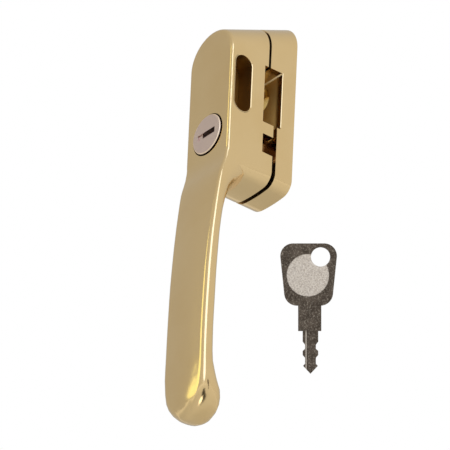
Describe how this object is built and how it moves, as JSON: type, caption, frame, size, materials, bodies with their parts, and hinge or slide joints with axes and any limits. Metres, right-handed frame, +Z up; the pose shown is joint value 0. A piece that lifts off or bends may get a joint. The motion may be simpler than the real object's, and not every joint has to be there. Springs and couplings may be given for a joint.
{
  "type": "window locking handle",
  "caption": "Window fastener handle that turns on a screwed base and locks with a key; a window and a slot in its side take a striker tongue.",
  "frame": {"origin": "the lever's pivot axis where it meets the mounting face, which is the flat back of the base", "axes": "+X to the right as seen from the room, +Y from the room into the window sash, +Z up; the front faces -Y"},
  "size_m": [0.087, 0.0476, 0.1532],
  "materials": {
    "plated_brass": "polished gold plating",
    "nylon": "moulded nylon",
    "zinc_steel": "zinc plated steel",
    "spring_steel": "spring steel",
    "bright_steel": "ground steel",
    "lock_metal": "machined brass",
    "wafer_brass": "stamped brass",
    "satin_nickel": "satin nickel plating",
    "key_metal": "dark mottled nickel"
  },
  "bodies": {
    "base": {"base_plate": "plated_brass", "bearing_washer": "nylon", "detent_ball": "bright_steel", "detent_spring": "spring_steel", "key": "key_metal"},
    "lever": {"lever_handle": "plated_brass", "thrust_washer": "nylon", "index_disc": "zinc_steel", "disc_spring": "spring_steel", "retaining_clip": "spring_steel", "lock_sleeve": "lock_metal", "sleeve_pin": "spring_steel"},
    "plug": {"lock_plug": "satin_nickel", "wafer_1": "wafer_brass", "wafer_2": "wafer_brass", "wafer_3": "wafer_brass", "wafer_4": "wafer_brass", "wafer_5": "wafer_brass", "wafer_springs": "spring_steel", "plug_clip": "spring_steel", "keyway_shutter": "satin_nickel", "drive_cam": "zinc_steel"},
    "bolt": {"locking_bolt": "zinc_steel"}
  },
  "joints": [
    {"name": "lever_turn", "type": "hinge", "parent": "base", "child": "lever", "pos_m": [0, 0, 0], "axis": [0, -1, 0], "range_deg": [0, 90]},
    {"name": "key_turn", "type": "hinge", "parent": "lever", "child": "plug", "pos_m": [0, 0, 0], "axis": [0, -1, 0], "range_deg": [0, 90]},
    {"name": "bolt_slide", "type": "slide", "parent": "lever", "child": "bolt", "axis": [0, 0, 1], "range_m": [0, 0.00299]}
  ],
  "couplings": [
    {"joint": "bolt_slide", "follows": "key_turn", "m_per_rad": 0.0018907}
  ]
}
